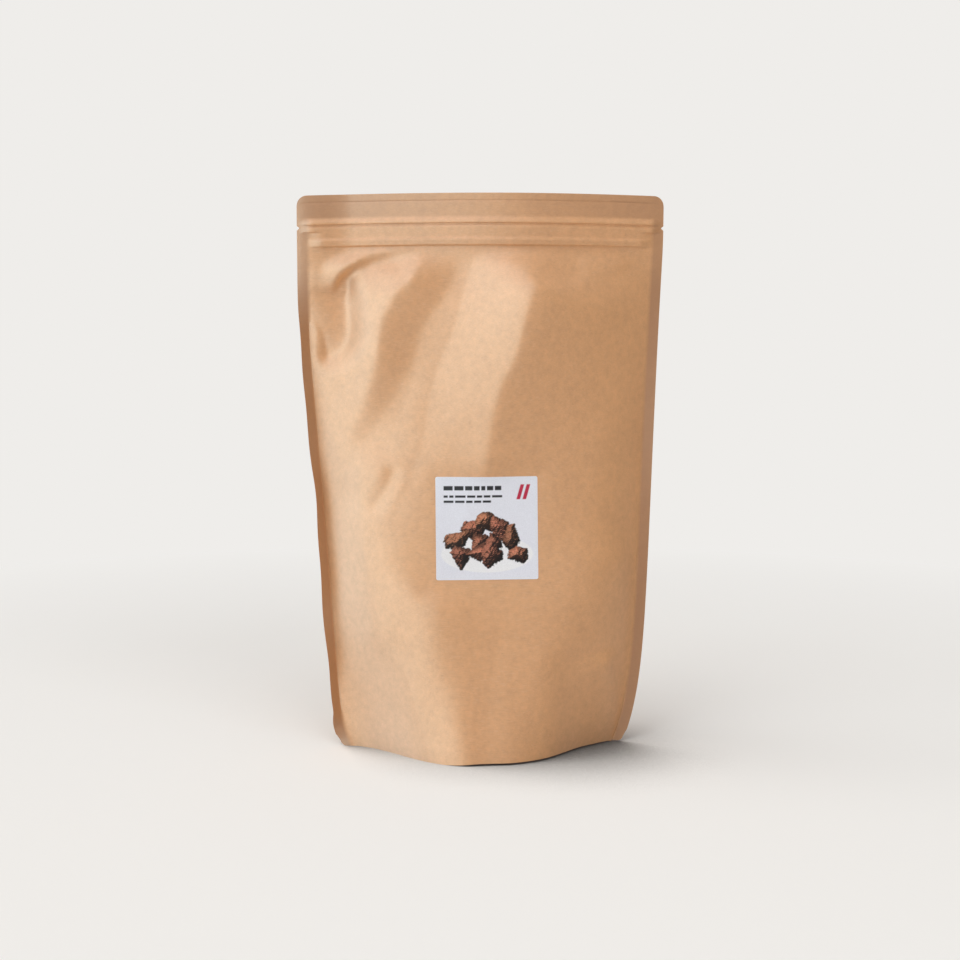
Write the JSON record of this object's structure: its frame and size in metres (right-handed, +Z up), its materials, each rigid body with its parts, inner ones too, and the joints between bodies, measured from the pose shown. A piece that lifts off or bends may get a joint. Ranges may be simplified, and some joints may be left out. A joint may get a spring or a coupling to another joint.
{
  "type": "pouch of sugar",
  "caption": "Stand-up kraft-paper pouch of raw sugar lumps, full and shut, with a zip header, side seams, a gusset base and a square paper label.",
  "frame": {"origin": "middle of the base, on the surface that the pouch stands on", "axes": "+Z up, -Y towards the viewer of the front wall with the label, +X to the right seen from the front"},
  "size_m": [0.2, 0.1016, 0.305],
  "materials": {
    "kraft_paper": "satin brown kraft paper laminated to film, with fine fibres",
    "label_paper": "semi-gloss printed paper sticker, pale lavender ground"
  },
  "bodies": {
    "root": {"pouch": "kraft_paper", "label": "label_paper"}
  },
  "joints": []
}
